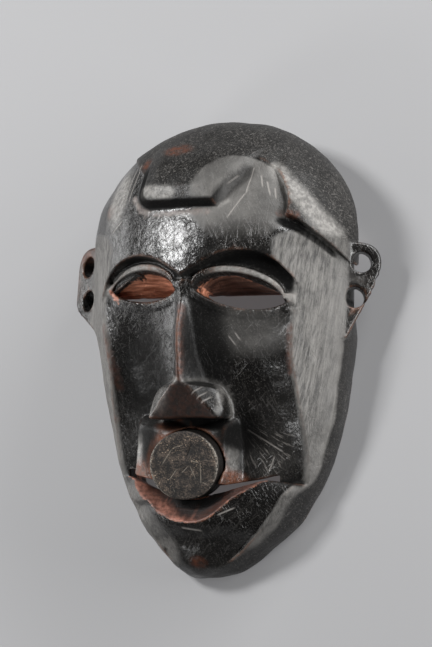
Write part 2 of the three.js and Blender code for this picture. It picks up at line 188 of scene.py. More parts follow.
def hair(x, y):
    """Height of the carved hair over the blank."""
    arch = outside_arch(x, y)
    left_limit = left_temple(y)
    above = ramp(y, hairline(x) - 0.5, hairline(x) + 2.5) * ramp(x, left_limit - 1.5, left_limit + 1.5)
    cap = 1.3 * ramp(arch, -0.02, 0.05) * above
    inside = into_tongue(x, y)
    pad = 4.4 * (1 - (1 - np.clip(inside / 7, 0, 1)) ** 2) + 0.27 * np.clip(inside - 5.5, 0, 13)
    pad = pad * (1 - ramp(y, 60, 96))
    lobe = ramp(x, 48, 55) * ramp(arch, -0.03, 0.07) * above
    lobe = lobe * (1 - ramp(y, 46, 88)) * (1 - 0.6 * ramp(x, 70, 84))
    valley_across = ((x - 28) - 0.72 * (y - 52)) / 1.23
    valley_along = np.abs((x - 28) * 0.6 + (y - 52) * 0.8)
    valley = np.exp(-(valley_across / 4.0) ** 2) * (1 - ramp(valley_along, 7, 16))
    return blend_max(cap, pad, 1.0) + 3.6 * lobe - 1.7 * undercut(x, y) - 1.6 * valley


def cheek(x, y):
    """Height of the cut-back midface: a shallow valley from the nose out to the side band."""
    near = through(y, [(-130, 32), (-104, 34), (-76, 40), (-50, 50), (-13, 61), (15, 66)])
    middle = through(y, [(-130, 20), (-104, 23), (-76, 29), (-50, 38), (-13, 50), (15, 55)])
    edge = through(y, [(-130, 14), (-104, 21), (-76, 31), (-50, 39), (-13, 40), (15, 38)])
    t = (np.abs(x) - 8) / 28
    t_edge = 57 / 28
    rise = middle - near
    bend = (edge - near - rise * t_edge) / (t_edge * (t_edge - 1))
    return near + rise * t + bend * t * (t - 1)


def brow(x):
    right = [(0, -6), (10, 0), (22, 7), (38, 11), (52, 9), (62, 2), (72, -10)]
    left = [(0, -6), (10, 0), (22, 6), (38, 8.5), (52, 5), (62, -2), (72, -12)]
    return np.where(x > 0, through(np.abs(x), right), through(np.abs(x), left))


def eye(x):
    """Upper and lower edge of the eye slits, and how far x is past their ends."""
    a = np.abs(x)
    t = np.clip((a - EYE_INNER) / (EYE_OUTER - EYE_INNER), -0.2, 1.2)
    drop = np.where(x > 0, 5.0, -3.5) * t
    bow = np.clip(4 * t * (1 - t), 0, 1)
    top = EYE_Y - drop + np.where(x > 0, 12.0, 11.0) * bow ** 0.6
    bottom = EYE_Y - drop - np.where(x > 0, 7.0, 6.0) * bow ** 0.8
    return top, bottom, np.maximum(EYE_INNER - a, a - EYE_OUTER)


def eye_slit(x, y, f):
    """The slit narrows inwards to a straight upper edge on the brow shelf."""
    top, bottom, ends = eye(x)
    inward = np.clip((51 - f) / 20, 0, 1)
    upper = top * (1 - inward) + np.minimum(top, -12) * inward
    return np.maximum(np.maximum(y - upper, bottom - y), ends)


def around_eye(x, y):
    top, bottom, ends = eye(x)
    return np.maximum(np.maximum(y - top, bottom - y), ends * 0.7)


def from_corner(x):
    """0 at the corners of the mouth, 1 at its middle."""
    return np.clip(1 - (x / MOUTH_HALF) ** 2, 0, 1)


def right_droop(x):
    """How far the right half of the mouth hangs below a level line."""
    return MOUTH_DROOP * np.clip(x / 40, 0, 1)


def mouth_top(x):
    return MOUTH_CORNER_Y + (MOUTH_MIDDLE_Y - MOUTH_CORNER_Y) * from_corner(x) ** 1.5 - right_droop(x)


def ledge_edge(x):
    """Outer edge of the bevelled lower lip: how high it lies on the face and how far out."""
    bow = np.clip(1 - ((x - LOWER_LIP_X) / (MOUTH_HALF + 1)) ** 2, 0, 1)
    bow = bow ** np.where(x > LOWER_LIP_X, 3.0, 1.4)
    corner_y = MOUTH_CORNER_Y - 1 - right_droop(x)
    corner_f = 27 + 4.5 * ramp(x, 4, 30)
    return corner_y + (LOWER_LIP_Y - corner_y) * bow, corner_f + (41 - corner_f) * from_corner(x)


def mouth_slit(x, y, f):
    """A thin slit under the upper lip, its lower side one broad bevel that opens outwards."""
    low_y, low_f = ledge_edge(x)
    sill = mouth_top(x) - 0.3 - (3.4 + 2.6 * ramp(-x, 8, 26)) * from_corner(x)
    lower = np.minimum(sill, low_y + 1.25 * (low_f - f))
    upper = mouth_top(x) + 0.25 * np.maximum(34 - f, 0)
    return np.maximum(np.maximum(y - upper, lower - y), np.abs(x) - MOUTH_HALF - 0.5)


def nose(x, y, f):
    """A narrow wedge that opens to two flat wings with a three-cornered facet between them."""
    a = np.sqrt(x * x + 1.5) - 1.2
    ridge = through(y, [(-92, 51), (-80, 55.5), (-67, 62), (-40, 67.5), (-14, 66), (0, 66)])
    slope = through(y, [(-67, 1.5), (-50, 2.1), (-30, 1.9), (-14, 0.9), (0, 0.6)])
    half = through(y, [(-92, 22.5), (-84, 23.5), (-76, 21), (-70, 15), (-65, 11), (-14, 12)])
    shoulder = (f - (ridge - slope * np.where(x > 0, 1.5, 1.0) * a)) * 0.5
    spread = np.maximum(-67 - y, 0)
    facet = (f - (62.4 - 0.45 * spread)) * 0.9
    wing = (f - (62.4 - 0.45 * spread - 0.85 * (a - 0.95 * spread))) * 0.75
    lower = blend_max(facet, wing, 0.8)
    top = shoulder * ramp(y, -72, -66) + lower * (1 - ramp(y, -72, -66))
    side = (a - half) * 0.9 - (f - 40) * 0.12
    base = -(y + 89.0) - 0.15 * (f - 40)
    wedge = blend_max(blend_max(top, side, 3.0), base, 1.5)
    ala = 11 * np.sqrt(((np.abs(x) - 14) / 9.5) ** 2 + ((y + 79) / 11) ** 2 + ((f - 42) / 11) ** 2) - 11
    return blend_max(blend_min(wedge, blend_max(ala, base, 1.5), 2.0), y - 2, 2.0)


def inside_jaw(x, y):
    """Over 0 on the dark face of the chin, between the two side bevels."""
    jaw = through(y, [(-182, 4), (-178, 15), (-162, 35), (-133, 53), (-118, 63)])
    return (jaw - from_axis(x, y)) * 0.8


def chin(x, y):
    """The face of the chin is cut back a little inside the jaw."""
    inside = inside_jaw(x, y)
    along = ramp(y, -179, -166) * (1 - ramp(y, -128, -118))
    return 1.1 * ramp(inside, -1.5, 1.5) * (1 - ramp(inside, 3, 20)) * along


def tool_marks(x, y, f):
    """The slight unevenness that the knife left all over."""
    long_waves = np.sin(0.11 * x + 0.07 * y + 1.3) * np.sin(0.09 * y - 0.05 * x + 0.08 * f)
    short_waves = np.sin(0.31 * x - 0.17 * y + 2.0) * np.sin(0.27 * y + 0.11 * x + 0.21 * f + 0.4)
    return 0.35 * long_waves + 0.13 * short_waves


def outside(x, y, f):
    dome = block(x, y, f) - hair(x, y) + chin(x, y)
    upper_side = 0.25 + 0.75 * ramp(y - EYE_Y + np.where(x > 0, 0.1, -0.07) * (np.abs(x) - 6), -2.5, 1.5)
    off_eye = around_eye(x, y)
    lid = 2.7 * ramp(off_eye, 0.0, 2.0) * (1 - ramp(off_eye, 4.4, 6.8)) * upper_side
    cut = blend_max(cheek(x, y) + lid - f, y - brow(x) - 0.15 * (f - 60), 2.4)
    cut = blend_max(cut, mouth_top(x) - 1 - y, 1.5)
    wood = blend_max(dome, -cut, 1.0)
    wood = blend_min(wood, nose(x, y, f), 2.0)
    right_facet = 0.92 * (x - 22.5) + 0.39 * (f - 40)
    left_facet = -0.5 * (x + 40) + 0.87 * (f - 33)
    lip_pad = blend_max(blend_max(right_facet, left_facet, 1.5), f - (41.5 - 0.004 * x * x), 1.5)
    lip_pad = blend_max(blend_max(lip_pad, -41 - x, 3.0), 0.8 * (y + 92.5) + 0.6 * (f - 38), 3.0)
    lip_pad = blend_max(lip_pad, -140 - y, 4.0)
    wood = blend_min(wood, lip_pad, 1.2)
    roll = np.sqrt(((x - 2) / 33) ** 2 + ((y + 148) / 12) ** 2 + (np.maximum(f - 20, 0) / 22) ** 2)
    return blend_min(wood, (roll - 1) * 14, 7.0) + tool_marks(x, y, f)


def hollow(x, y, f):
    """The scooped back, with a straight shelf of thick wood behind the brow."""
    power = 2.2
    rho = egg(x, y, SIDE_WALL, CROWN_WALL)
    front = (np.maximum(f, -5) + 5) / HOLLOW_DEPTH
    bowl = HOLLOW_DEPTH * ((rho ** power + front ** power) ** (1 / power) - 1)
    floor = through(y, [(-182, 2), (-150, 18), (-120, 19), (-76, 26), (-50, 33), (-18, 40), (40, 40),
                        (100, 20)])
    plate = f - np.minimum(floor, cheek(x, y) - CHEEK_WALL)
    shelf_y, shelf_f = BROW_SHELF
    shelf = np.where(y > shelf_y, f - shelf_f, f - HOLLOW_DEPTH - 2)
    gouge = 0.5 * np.sin(0.23 * x + 0.1 * y) * np.sin(0.19 * y - 0.12 * x + 1.0)
    return blend_max(bowl, blend_max(plate, shelf, 1.0), 5.0) + gouge


PLUG_OUT = np.array([math.sin(PLUG_TURN) * math.cos(PLUG_TIP), math.sin(PLUG_TIP),
                     math.cos(PLUG_TURN) * math.cos(PLUG_TIP)])
PLUG_ACROSS = np.array([math.cos(PLUG_TURN), 0, -math.sin(PLUG_TURN)])
PLUG_UP = np.cross(PLUG_OUT, PLUG_ACROSS)


def plug_axes(x, y, f):
    """Distances from the face of the plug: across, up and out along its axis."""
    d = (x - PLUG_AT[0], y - PLUG_AT[1], f - PLUG_AT[2])
    return [sum(d[i] * axis[i] for i in range(3)) for axis in (PLUG_ACROSS, PLUG_UP, PLUG_OUT)]


def socket(x, y, f):
    """The hole in the upper lip that the plug sits in."""
    across, up, out = plug_axes(x, y, f)
    wall = (np.hypot(across / PLUG_RADII[0], up / PLUG_RADII[1]) - 1) * 21.5 - SOCKET_GAP
    return blend_max(wall, np.abs(out + 10) - 10 - SOCKET_GAP, 1.2)


def past_root(x):
    """How far x is outside the root of its ear tab."""
    return np.abs(x) - np.where(x > 0, TAB_ROOT_RIGHT, TAB_ROOT_LEFT)


def tab(x, y, f):
    """An ear tab: a swept-back slab, flat on top, cut away below and pierced twice."""
    turn, lean = math.cos(TAB_SWEEP), math.sin(TAB_SWEEP)
    out = past_root(x)
    along = out * turn - (f - TAB_ROOT_F) * lean
    depth = out * lean + (f - TAB_ROOT_F) * turn
    rise = y - np.where(x > 0, -1.0, 1.5)
    top = rise - TAB_HALF_HEIGHT
    low = np.where(x > 0, 0.913 * along - 0.409 * rise - 16.8, 0.573 * along - 0.819 * rise - 21.7)
    ragged = 0.5 * np.sin(1.1 * rise + 0.6) * np.sin(0.47 * rise) * ramp(along, 8, 18)
    form = blend_max(blend_max(top, along - TAB_REACH, 14), low + ragged, 4)
    form = blend_max(form, np.abs(depth + 3) - TAB_THICKNESS / 2, 2.0)
    form = blend_max(np.maximum(form, -12 - along), -34 - rise, 2)
    for hole_along, hole_rise in TIE_HOLES:
        hole = TIE_HOLE_RADIUS - np.hypot(along - hole_along, rise - hole_rise)
        form = blend_max(form, hole, 1.2)
    nick = 4.2 - np.hypot(along - TAB_REACH - 1.0, rise - 3.4)
    return blend_max(form, np.where(x > 0, nick, -9.0), 1.0)


def rim(y, f):
    """Under 0 in front of the flat rim plane."""
    chin_y, chin_f = RIM_CHIN
    return -((f - chin_f) * math.cos(RIM_LEAN) + (y - chin_y) * math.sin(RIM_LEAN))


def carving(x, y, f):
    wood = blend_min(outside(x, y, f), tab(x, y, f), 2.0)
    wood = blend_max(wood, -hollow(x, y, f), 2.0)
    wood = blend_max(wood, -eye_slit(x, y, f), 1.0)
    wood = blend_max(wood, -mouth_slit(x, y, f), 1.0)
    wood = blend_max(wood, -socket(x, y, f), 0.8)
    return blend_max(wood, rim(y, f), 1.2)


CUBE = [(i, j, k) for i in (0, 1) for j in (0, 1) for k in (0, 1)]


def sample(form, low, high, pitch):
    """The form's value at every point of a grid, one slab at a time."""
    size = np.ceil((np.array(high) - low) / pitch).astype(int) + 1
    axes = [low[i] + pitch * np.arange(size[i], dtype=np.float32) for i in range(3)]
    values = np.empty(size, np.float32)
    for i in range(0, size[0], 24):
        grid = np.meshgrid(axes[0][i:i + 24], axes[1], axes[2], indexing="ij")
        values[i:i + 24] = form(*grid)
    return values


def skin(values, low, pitch):
    """Closed quads round the part of a sampled grid that is under 0."""
    inside = values < 0
    size = np.array(values.shape)
    corners = sum(inside[i:size[0] - 1 + i, j:size[1] - 1 + j, k:size[2] - 1 + k].astype(np.uint8)
                  for i, j, k in CUBE)
    crossed = (corners > 0) & (corners < 8)
    cells = np.argwhere(crossed)
    number = np.full(crossed.shape, -1, np.int64)
    number[crossed] = np.arange(len(cells))
    total = np.zeros((len(cells), 3))
    count = np.zeros(len(cells))
    at = {c: values[cells[:, 0] + c[0], cells[:, 1] + c[1], cells[:, 2] + c[2]] for c in CUBE}
    for start in CUBE:
        for axis in range(3):
            if start[axis]:
                continue
            end = tuple(1 if i == axis else start[i] for i in range(3))
            a, b = at[start], at[end]
            cut = (a < 0) != (b < 0)
            share = np.where(cut, a / np.where(a == b, 1, a - b), 0)
            place = np.repeat([start], len(cells), axis=0).astype(float)
            place[:, axis] += share
            total += np.where(cut[:, None], place, 0)
            count += cut
    points = np.array(low) + pitch * (cells + total / count[:, None])
    quads = []
    for axis in range(3):
        u, w = (axis + 1) % 3, (axis + 2) % 3
        near = [slice(1, -1)] * 3
        far = [slice(1, -1)] * 3
        near[axis] = slice(0, -1)
        far[axis] = slice(1, None)
        first, second = inside[tuple(near)], inside[tuple(far)]
        edges = np.argwhere(first != second)
        outward = first[first != second]
        edges[:, u] += 1
        edges[:, w] += 1
        ring = []
        for du, dw in ((-1, -1), (0, -1), (0, 0), (-1, 0)):
            cell = edges.copy()
            cell[:, u] += du
            cell[:, w] += dw
            ring.append(number[cell[:, 0], cell[:, 1], cell[:, 2]])
        ring = np.stack(ring, 1)
        ring[~outward] = ring[~outward][:, ::-1]
        quads.append(ring)
    return points, np.concatenate(quads)


def settle(form, points, pitch, rounds=3):
    """Moves each point onto the form's true surface, by no more than part of a pitch."""
    start = points.copy()
    for _ in range(rounds):
        value = form(*points.T)
        nudge = 0.05
        slope = np.stack([form(*(points + nudge * np.eye(3)[i]).T) - value for i in range(3)], 1) / nudge
        points = points - slope * (value / np.maximum((slope ** 2).sum(1), 0.05))[:, None]
        points = start + np.clip(points - start, -0.7 * pitch, 0.7 * pitch)
    return points


CARVED_TO_LYING = np.array([[1, 0, 0],
                            [0, math.cos(RIM_LEAN), -math.sin(RIM_LEAN)],
                            [0, math.sin(RIM_LEAN), math.cos(RIM_LEAN)]])
LYING_SHIFT = np.array([LYING_SHIFT_X, LYING_SHIFT_Y,
                        -RIM_CHIN[0] * math.sin(RIM_LEAN) - RIM_CHIN[1] * math.cos(RIM_LEAN)])


def lying(points):
    """From the carver's millimetres to metres, with the mask on its rim."""
    return (points @ CARVED_TO_LYING.T + LYING_SHIFT) / 1000


def carved(points):
    """Back from metres to the carver's millimetres."""
    return (points * 1000 - LYING_SHIFT) @ CARVED_TO_LYING


def piece_from(name, points, quads):
    """A smooth-shaded piece of quads, with its place in its mesh."""
    mesh = bpy.data.meshes.new(name)
    mesh.vertices.add(len(points))
    mesh.vertices.foreach_set("co", points.astype(np.float32).ravel())
    mesh.loops.add(4 * len(quads))
    mesh.loops.foreach_set("vertex_index", quads.astype(np.int32).ravel())
    mesh.polygons.add(len(quads))
    mesh.polygons.foreach_set("loop_start", np.arange(0, 4 * len(quads), 4, dtype=np.int32))
    mesh.polygons.foreach_set("use_smooth", np.ones(len(quads), bool))
    mesh.update(calc_edges=True)
    piece = bpy.data.objects.new(name, mesh)
    bpy.context.scene.collection.objects.link(piece)
    return piece


def thin_out(piece, triangles):
    """Fewer triangles where the surface is smooth."""
    have = sum(len(p.vertices) - 2 for p in piece.data.polygons)
    thinning = piece.modifiers.new("thinning", "DECIMATE")
    thinning.ratio = min(1.0, triangles / have)
    depsgraph = bpy.context.evaluated_depsgraph_get()
    mesh = bpy.data.meshes.new_from_object(piece.evaluated_get(depsgraph))
    piece.modifiers.remove(thinning)
    mesh.name = piece.name
    piece.data = mesh
    mesh.polygons.foreach_set("use_smooth", np.ones(len(mesh.polygons), bool))


def points_of(mesh):
    co = np.empty(3 * len(mesh.vertices), np.float32)
    mesh.vertices.foreach_get("co", co)
    return co.reshape(-1, 3).astype(float)


def bulge(mesh, points, rounds=2):
    """How far each point stands out from its neighbours, in millimetres: high on worn edges."""
    ends = np.empty(2 * len(mesh.edges), np.int32)
    mesh.edges.foreach_get("vertices", ends)
    a, b = ends.reshape(-1, 2).T
    normals = np.empty(3 * len(mesh.vertices), np.float32)
    mesh.vertices.foreach_get("normal", normals)
    normals = normals.reshape(-1, 3)
    count = np.bincount(a, minlength=len(points)) + np.bincount(b, minlength=len(points))
    mean = np.zeros_like(points)
    for i in range(3):
        mean[:, i] = np.bincount(a, points[b, i], len(points)) + np.bincount(b, points[a, i], len(points))
    mean /= count[:, None]
    out = ((points - mean) * normals).sum(1)
    for _ in range(rounds):
        total = np.bincount(a, out[b], len(points)) + np.bincount(b, out[a], len(points))
        out = (out + total / count) / 2
    return out * 1000


def paint(mesh, name, values):
    """Stores where a finish lies, from 0 to 1 at each point."""
    layer = mesh.attributes.new(name, "FLOAT", "POINT")
    layer.data.foreach_set("value", np.clip(values, 0, 1).astype(np.float32))


LOW_CORNER = (-112.0, -184.0, -30.0)
HIGH_CORNER = (108.0, 108.0, 76.0)
grid = sample(carving, LOW_CORNER, HIGH_CORNER, CARVING_PITCH)
mask_points, mask_quads = skin(grid, LOW_CORNER, CARVING_PITCH)
mask_points = settle(carving, mask_points, CARVING_PITCH)
mask = piece_from("mask_carving", lying(mask_points), mask_quads)
thin_out(mask, MASK_TRIANGLES)


def patch(x, y, centre, radii, soft=0.5):
    """1 inside an oval on the face, fading out over its edge."""
    return 1 - ramp(np.hypot((x - centre[0]) / radii[0], (y - centre[1]) / radii[1]), 1 - soft, 1 + soft)


def stroke(x, y, path, width):
    """1 along a line of points on the face, fading out over a width."""
    off = np.full(x.shape, 1e9)
    for start, end in zip(path, path[1:]):
        dx, dy = end[0] - start[0], end[1] - start[1]
        t = np.clip(((x - start[0]) * dx + (y - start[1]) * dy) / (dx * dx + dy * dy), 0, 1)
        off = np.minimum(off, np.hypot(x - start[0] - t * dx, y - start[1] - t * dy))
    return 1 - ramp(off, 0.3 * width, width)


def most(*layers):
    """The strongest of several layers of wear at each point."""
    return np.maximum.reduce(layers)


HAIR_EDGE = ((-41, 47), (-34, 38), (-26, 35), (-12, 34))
LEFT_JAW = ((-46, -126), (-37, -148), (-22, -168))
RIGHT_WING = ((2, -69), (9, -65.5), (16, -66.5), (21, -71), (23, -80), (23, -88))
LEFT_WING = tuple((-across, rise) for across, rise in RIGHT_WING)
LEFT_LID_CHIP = ((-61, -9), (-55, -15))
LIP_SPOTS = (((-25, -145), (4, 4)), ((-19, -150), (4, 3)), ((-12, -152), (3, 3)))

points = points_of(mask.data)
x, y, f = carved(points).T
depth_in = -outside(x, y, f)
in_front = 1 - ramp(depth_in, 1.0, 2.5)
behind = ramp(depth_in, 4.0, 6.5)
just_inside = ramp(depth_in, 2.0, 4.0)
in_slit = 1 - ramp(np.maximum(eye_slit(x, y, f), np.abs(y + 12) - 22), 0.4, 1.4)
in_mouth = (1 - ramp(mouth_slit(x, y, f), 0.3, 1.2)) * ramp(from_corner(x), 0.0, 0.08)
in_mouth = in_mouth * (1 - ramp(y - mouth_top(x), 0.0, 0.6))
on_head = 1 - ramp(past_root(x), 1.5, 3.5)
edge = ramp(bulge(mask.data, points), 0.035, 0.16)
edge = edge * (1 - patch(x, y, (62, -121), (16, 6))) * (1 - patch(x, y, (34, -107), (6, 18)))

# Grey film on the bald arch, the side bevels and the left jaw, with painted sheen on the side bevels, and
# painted sheen on the right cheek under the eye and on the tops of the eyelids
arch_side = 1 - ramp(outside_arch(x, y), -0.03, 0.0)
arch = arch_side * ramp(y, 14, 34) * in_front * ramp(x + 0.25 * (y - 30), 0, 8) * on_head
band = ramp(side_cut(x, y, f), -2.4, -0.8) * (1 - ramp(y, 18, 34)) * in_front * on_head * ramp(f, 5, 9)
band = band * (1 - ramp(inside_jaw(x, y), -0.8, 0.6) * ramp(-y, 118, 124))
# On the side bands the grey is film and painted sheen from the raking side light: lighter towards the
# front of the face, darker towards the chin.
band_film_and_sheen = band * (0.4 + 0.6 * ramp(f, 14, 30)) * (1 - 0.4 * ramp(-y, 70, 130))
# Painted sheen: the right cheek under the eye is lighter where it faces the light.
cheek_sheen = patch(x, y, (36, -36), (24, 13)) * in_front
off_eye = around_eye(x, y)
# The tops of the eyelids are painted lighter where the light falls on them.
lid_face = ramp(off_eye, 1.2, 2.4) * (1 - ramp(off_eye, 4.2, 5.6)) * ramp(y + 0.06 * x, -16, -12)
lid_face = lid_face * in_front * (1 - ramp(f, 60, 64)) * (y < brow(x) - 2)
left_jaw = stroke(x, y, LEFT_JAW, 15) * (1 - ramp(y, -128, -122)) * in_front
film_and_sheen = most(arch, band, 0.7 * cheek_sheen, 0.7 * lid_face, 0.8 * left_jaw)
hair_zone = ramp(y, hairline(x), hairline(x) + 6) * (1 - arch_side) * in_front * on_head
hair_zone = hair_zone * ramp(x, left_temple(y), left_temple(y) + 4)

# Soot and painted shade in the hollows that the hand doesn't reach, painted shade also on the right side
# of the nose, on the lip pad under the nose, deep in the mouth and in the right eye slit; and a hard
# polish on the cheeks and the chin
in_tongue = into_tongue(x, y)
step = ramp(in_tongue, -1.0, 0.5) * (1 - ramp(in_tongue, 4.5, 6.5))
step = step * (1 - ramp(y, 60, 74)) * (1 - ramp(x, 16, 30))
under_brow = ramp(off_eye, 6.2, 8.0) * (1 - ramp(y - brow(x), -1.0, 1.5)) * ramp(y, -16, -9)
under_brow = under_brow * (1 - band)
under_nose = patch(x, y, (0, -93), (26, 6)) * (f < 49)
nose_facet = 1 - ramp(np.abs(x) - 0.95 * np.maximum(-67 - y, 0), -1.5, 0.5)
nose_facet = nose_facet * ramp(-y, 66, 69) * ramp(f, 47, 50)
# The right side of the nose is painted dark, as shade.
nose_side = patch(x, y, (12, -44), (12, 32), 0.4) * (x > 1.6)
mouth_shade = in_mouth * ramp(depth_in - 4 * ramp(-x, 8, 26), 2.5, 7.0)
soot_and_shade = in_front * most(
    step,
    under_brow,
    under_nose,
    0.8 * nose_side,
    0.75 * nose_facet,
    0.9 * ramp(undercut(x, y), 0.3, 0.7),
    0.5 * stroke(x, y, ((21, 46), (34, 62)), 6.0),
    stroke(x, y, ((50, -125), (66, -126)), 3.0),
    0.6 * patch(x, y, (-36, -60), (20, 28)),
    # Painted shadow of the nose on the top of the lip pad.
    patch(x, y, (28, -98), (12, 11)),
    0.5 * patch(x, y, (32, -112), (7, 8)),
    0.8 * patch(x, y, (-31, -98), (9, 7)),
    0.8 * patch(x, y, (-28, -107), (7, 12)))
# Painted shade deep in the mouth and inside the right eye slit.
soot_and_shade = most(soot_and_shade, mouth_shade, 0.8 * in_slit * just_inside * (x > 8))
film_and_sheen = film_and_sheen * (1 - soot_and_shade)
hair_zone = hair_zone * (1 - soot_and_shade)
polish = in_front * most(
    patch(x, y, (-38, -58), (24, 30)),
    patch(x, y, (44, -84), (20, 30)),
    patch(x, y, (6, -164), (26, 16)))

# Pale wear on raised edges, with painted highlights on the eyelid tops, the hair lobe, the tongue of hair,
# the left temple, the left wing of the nose and the strips beside the plug, and red wood where the black
# is rubbed through
pale = in_front * most(
    lid_face,
    stroke(x, y, ((49, 65), (67, 47), (80, 30)), 6.5) * (1 - ramp(undercut(x, y), 0.2, 0.5)),
    stroke(x, y, ((-31, 49), (-12, 47)), 6.0),
    stroke(x, y, ((-38, -100), (-37, -114)), 4.0),
    0.6 * stroke(x, y, ((26, -108), (26, -118)), 3.0) * ramp(f, 25, 28),
    0.6 * stroke(x, y, (*HAIR_EDGE, (2, 34), (15, 35), (26, 42)), 2.4),
    0.4 * stroke(x, y, RIGHT_WING, 2.0),
    0.8 * stroke(x, y, LEFT_WING, 3.0),
    0.6 * ramp(-x, 88, 92) * ramp(y, 38, 50),
    patch(x, y, (-57, 50), (8, 18)),
    0.5 * patch(x, y, (-15, -78), (6, 9)))
plug_off = np.hypot(*[v / r for v, r in zip(plug_axes(x, y, f)[:2], PLUG_RADII)])
socket_edge = ramp(f, 34, 38) * (1 - ramp(plug_off, 1.1, 1.32)) * (1 - ramp(plug_off, 1.06, 1.14))
worn = in_front * most(
    socket_edge,
    0.7 * nose_facet,
    stroke(x, y, ((0, -24), (0, -68)), 3.2) * ramp(f, 58, 60),
    0.8 * stroke(x, y, (*HAIR_EDGE, (2, 35), (15, 35)), 2.2),
    0.8 * stroke(x, y, ((56, 36), (66, 35)), 3.0),
    0.7 * stroke(x, y, ((63, -33), (63, -60)), 3.0),
    0.5 * stroke(x, y, ((-67, -30), (-56, -66)), 4.0),
    patch(x, y, (-16, 78), (9, 4)),
    patch(x, y, (-38, 70), (3.5, 4)),
    patch(x, y, (-62, 42), (4, 5)),
    patch(x, y, (3, -175), (5, 3)))
worn = most(worn, patch(x, y, (-101, 27), (13, 9)) * ramp(-x, 87, 90))
crescent = ramp(f, 31, 34) * ramp(-x, 4, 10) * ramp(y, -136, -130)
crescent = crescent * ramp(plug_off, 1.0, 1.03) * (1 - ramp(plug_off, 1.32, 1.42))
orange = in_front * most(
    crescent,
    patch(x, y, (-35, -120), (6, 7)),
    0.8 * patch(x, y, (26, -124), (6, 4)),
    0.8 * patch(x, y, (-20, -93), (5, 3)) * ramp(f, 34, 37),
    0.7 * ramp(-x, 88, 92) * ramp(y, 36, 50))

# Raw wood in the slits and the back, pink along the lower lip; inside the mouth the wood is painted dark
# as shade, with the pink kept to the outer rim of the lower lip
lid_chip = in_front * stroke(x, y, LEFT_LID_CHIP, 2.4)
raw = most(in_slit * just_inside, in_mouth, behind, 0.7 * lid_chip)
on_left = ramp(-x, -4, 18)
ledge = in_mouth * (1 - ramp(depth_in, 0.3 + 2.5 * on_left, 1.5 + 6 * on_left))
ledge = ledge * (1 - 0.75 * ramp(x, 0, 18))
dark_spots = sum(patch(x, y, middle, radii) for middle, radii in LIP_SPOTS)
ledge = ledge * (1 - 0.8 * np.clip(dark_spots, 0, 1))
ledge = most(ledge, 0.8 * lid_chip)

finishes = {
    "grey_film_and_sheen": film_and_sheen,
    "worn_red": worn,
    "raw_wood": raw,
    "pink_ledge": ledge,
    "mouth_wood_in_shade": in_mouth,
    "orange_wear": orange,
    "polish": polish,
    "hair_cut": hair_zone,
    "rubbed_edge": edge * in_front,
    "side_band": most(band_film_and_sheen, 0.6 * left_jaw),
    "soot_and_shade": soot_and_shade,
    "pale_wear_and_highlight": pale,
    "knife_fan": in_front * patch(x, y, (46, -106), (17, 16), 0.4) * (1 - band),
}
for name, values in finishes.items():
    paint(mask.data, name, values)


class Shade:
    """A socket of a material, on which Python's operators add Math nodes."""

    def __init__(self, tree, socket):
        self.tree = tree
        self.socket = socket

    def node(self, kind, settings=None, inputs=None, output=0):
        """Adds a node with its settings and its values or links, and gives one of its outputs."""
        node = self.tree.nodes.new(kind)
        for key, value in (settings or {}).items():
            setattr(node, key, value)
        for key, value in (inputs or {}).items():
            if isinstance(value, Shade):
                self.tree.links.new(value.socket, node.inputs[key])
            else:
                node.inputs[key].default_value = value
        return Shade(self.tree, node.outputs[output])

    def math(self, operation, first, second=0.0, third=0.0):
        return self.node("ShaderNodeMath", {"operation": operation}, {0: first, 1: second, 2: third})

    def __add__(self, other):
        return self.math("ADD", self, other)

    def __radd__(self, other):
        return self.math("ADD", other, self)

    def __sub__(self, other):
        return self.math("SUBTRACT", self, other)

    def __rsub__(self, other):
        return self.math("SUBTRACT", other, self)

    def __mul__(self, other):
        return self.math("MULTIPLY", self, other)

    def __rmul__(self, other):
        return self.math("MULTIPLY", other, self)

    def __pow__(self, other):
        return self.math("POWER", self, other)

    def __abs__(self):
        return self.math("ABSOLUTE", self)

    def over(self, start, end):
        """0 at start, 1 at end, eased and held outside."""
        settings = {"interpolation_type": "SMOOTHSTEP"}
        return self.node("ShaderNodeMapRange", settings, {0: self, 1: start, 2: end, 3: 0.0, 4: 1.0})

    def either(self, other):
        return self.math("MAXIMUM", self, other)

    def tint(self, low, high):
        """From one colour to another as this value goes from 0 to 1."""
        settings = {"data_type": "RGBA"}
        low = low if isinstance(low, Shade) else (*low, 1.0)
        high = high if isinstance(high, Shade) else (*high, 1.0)
        return self.node("ShaderNodeMix", settings, {0: self, 6: low, 7: high}, 2)

    def along(self, turn, stretch):
        """Coordinates turned about Z and then drawn out, so that marks run along that direction."""
        inputs = {0: self, 2: (0.0, 0.0, turn), 3: stretch}
        return self.node("ShaderNodeMapping", {"vector_type": "TEXTURE"}, inputs)

    def noise(self, scale, detail=2.0, roughness=0.5):
        inputs = {"Vector": self, "Scale": scale, "Detail": detail, "Roughness": roughness}
        return self.node("ShaderNodeTexNoise", {}, inputs)

    def cells(self, scale):
        return self.node("ShaderNodeTexVoronoi", {"feature": "F1"}, {"Vector": self, "Scale": scale})


def finish_named(name):
    """A new material: its nodes, its shader, and the piece's own coordinates."""
    material = bpy.data.materials.new(name)
    material.use_nodes = True
    tree = material.node_tree
    shader = tree.nodes["Principled BSDF"]
    coordinates = tree.nodes.new("ShaderNodeTexCoord")
    return material, tree, shader, Shade(tree, coordinates.outputs["Object"])


def face_of(place):
    """The piece's coordinates in the carver's millimetres."""
    inputs = {0: place, 1: LYING_SHIFT / 1000, 2: (RIM_LEAN, 0.0, 0.0), 3: (0.001, 0.001, 0.001)}
    return place.node("ShaderNodeMapping", {"vector_type": "TEXTURE"}, inputs)


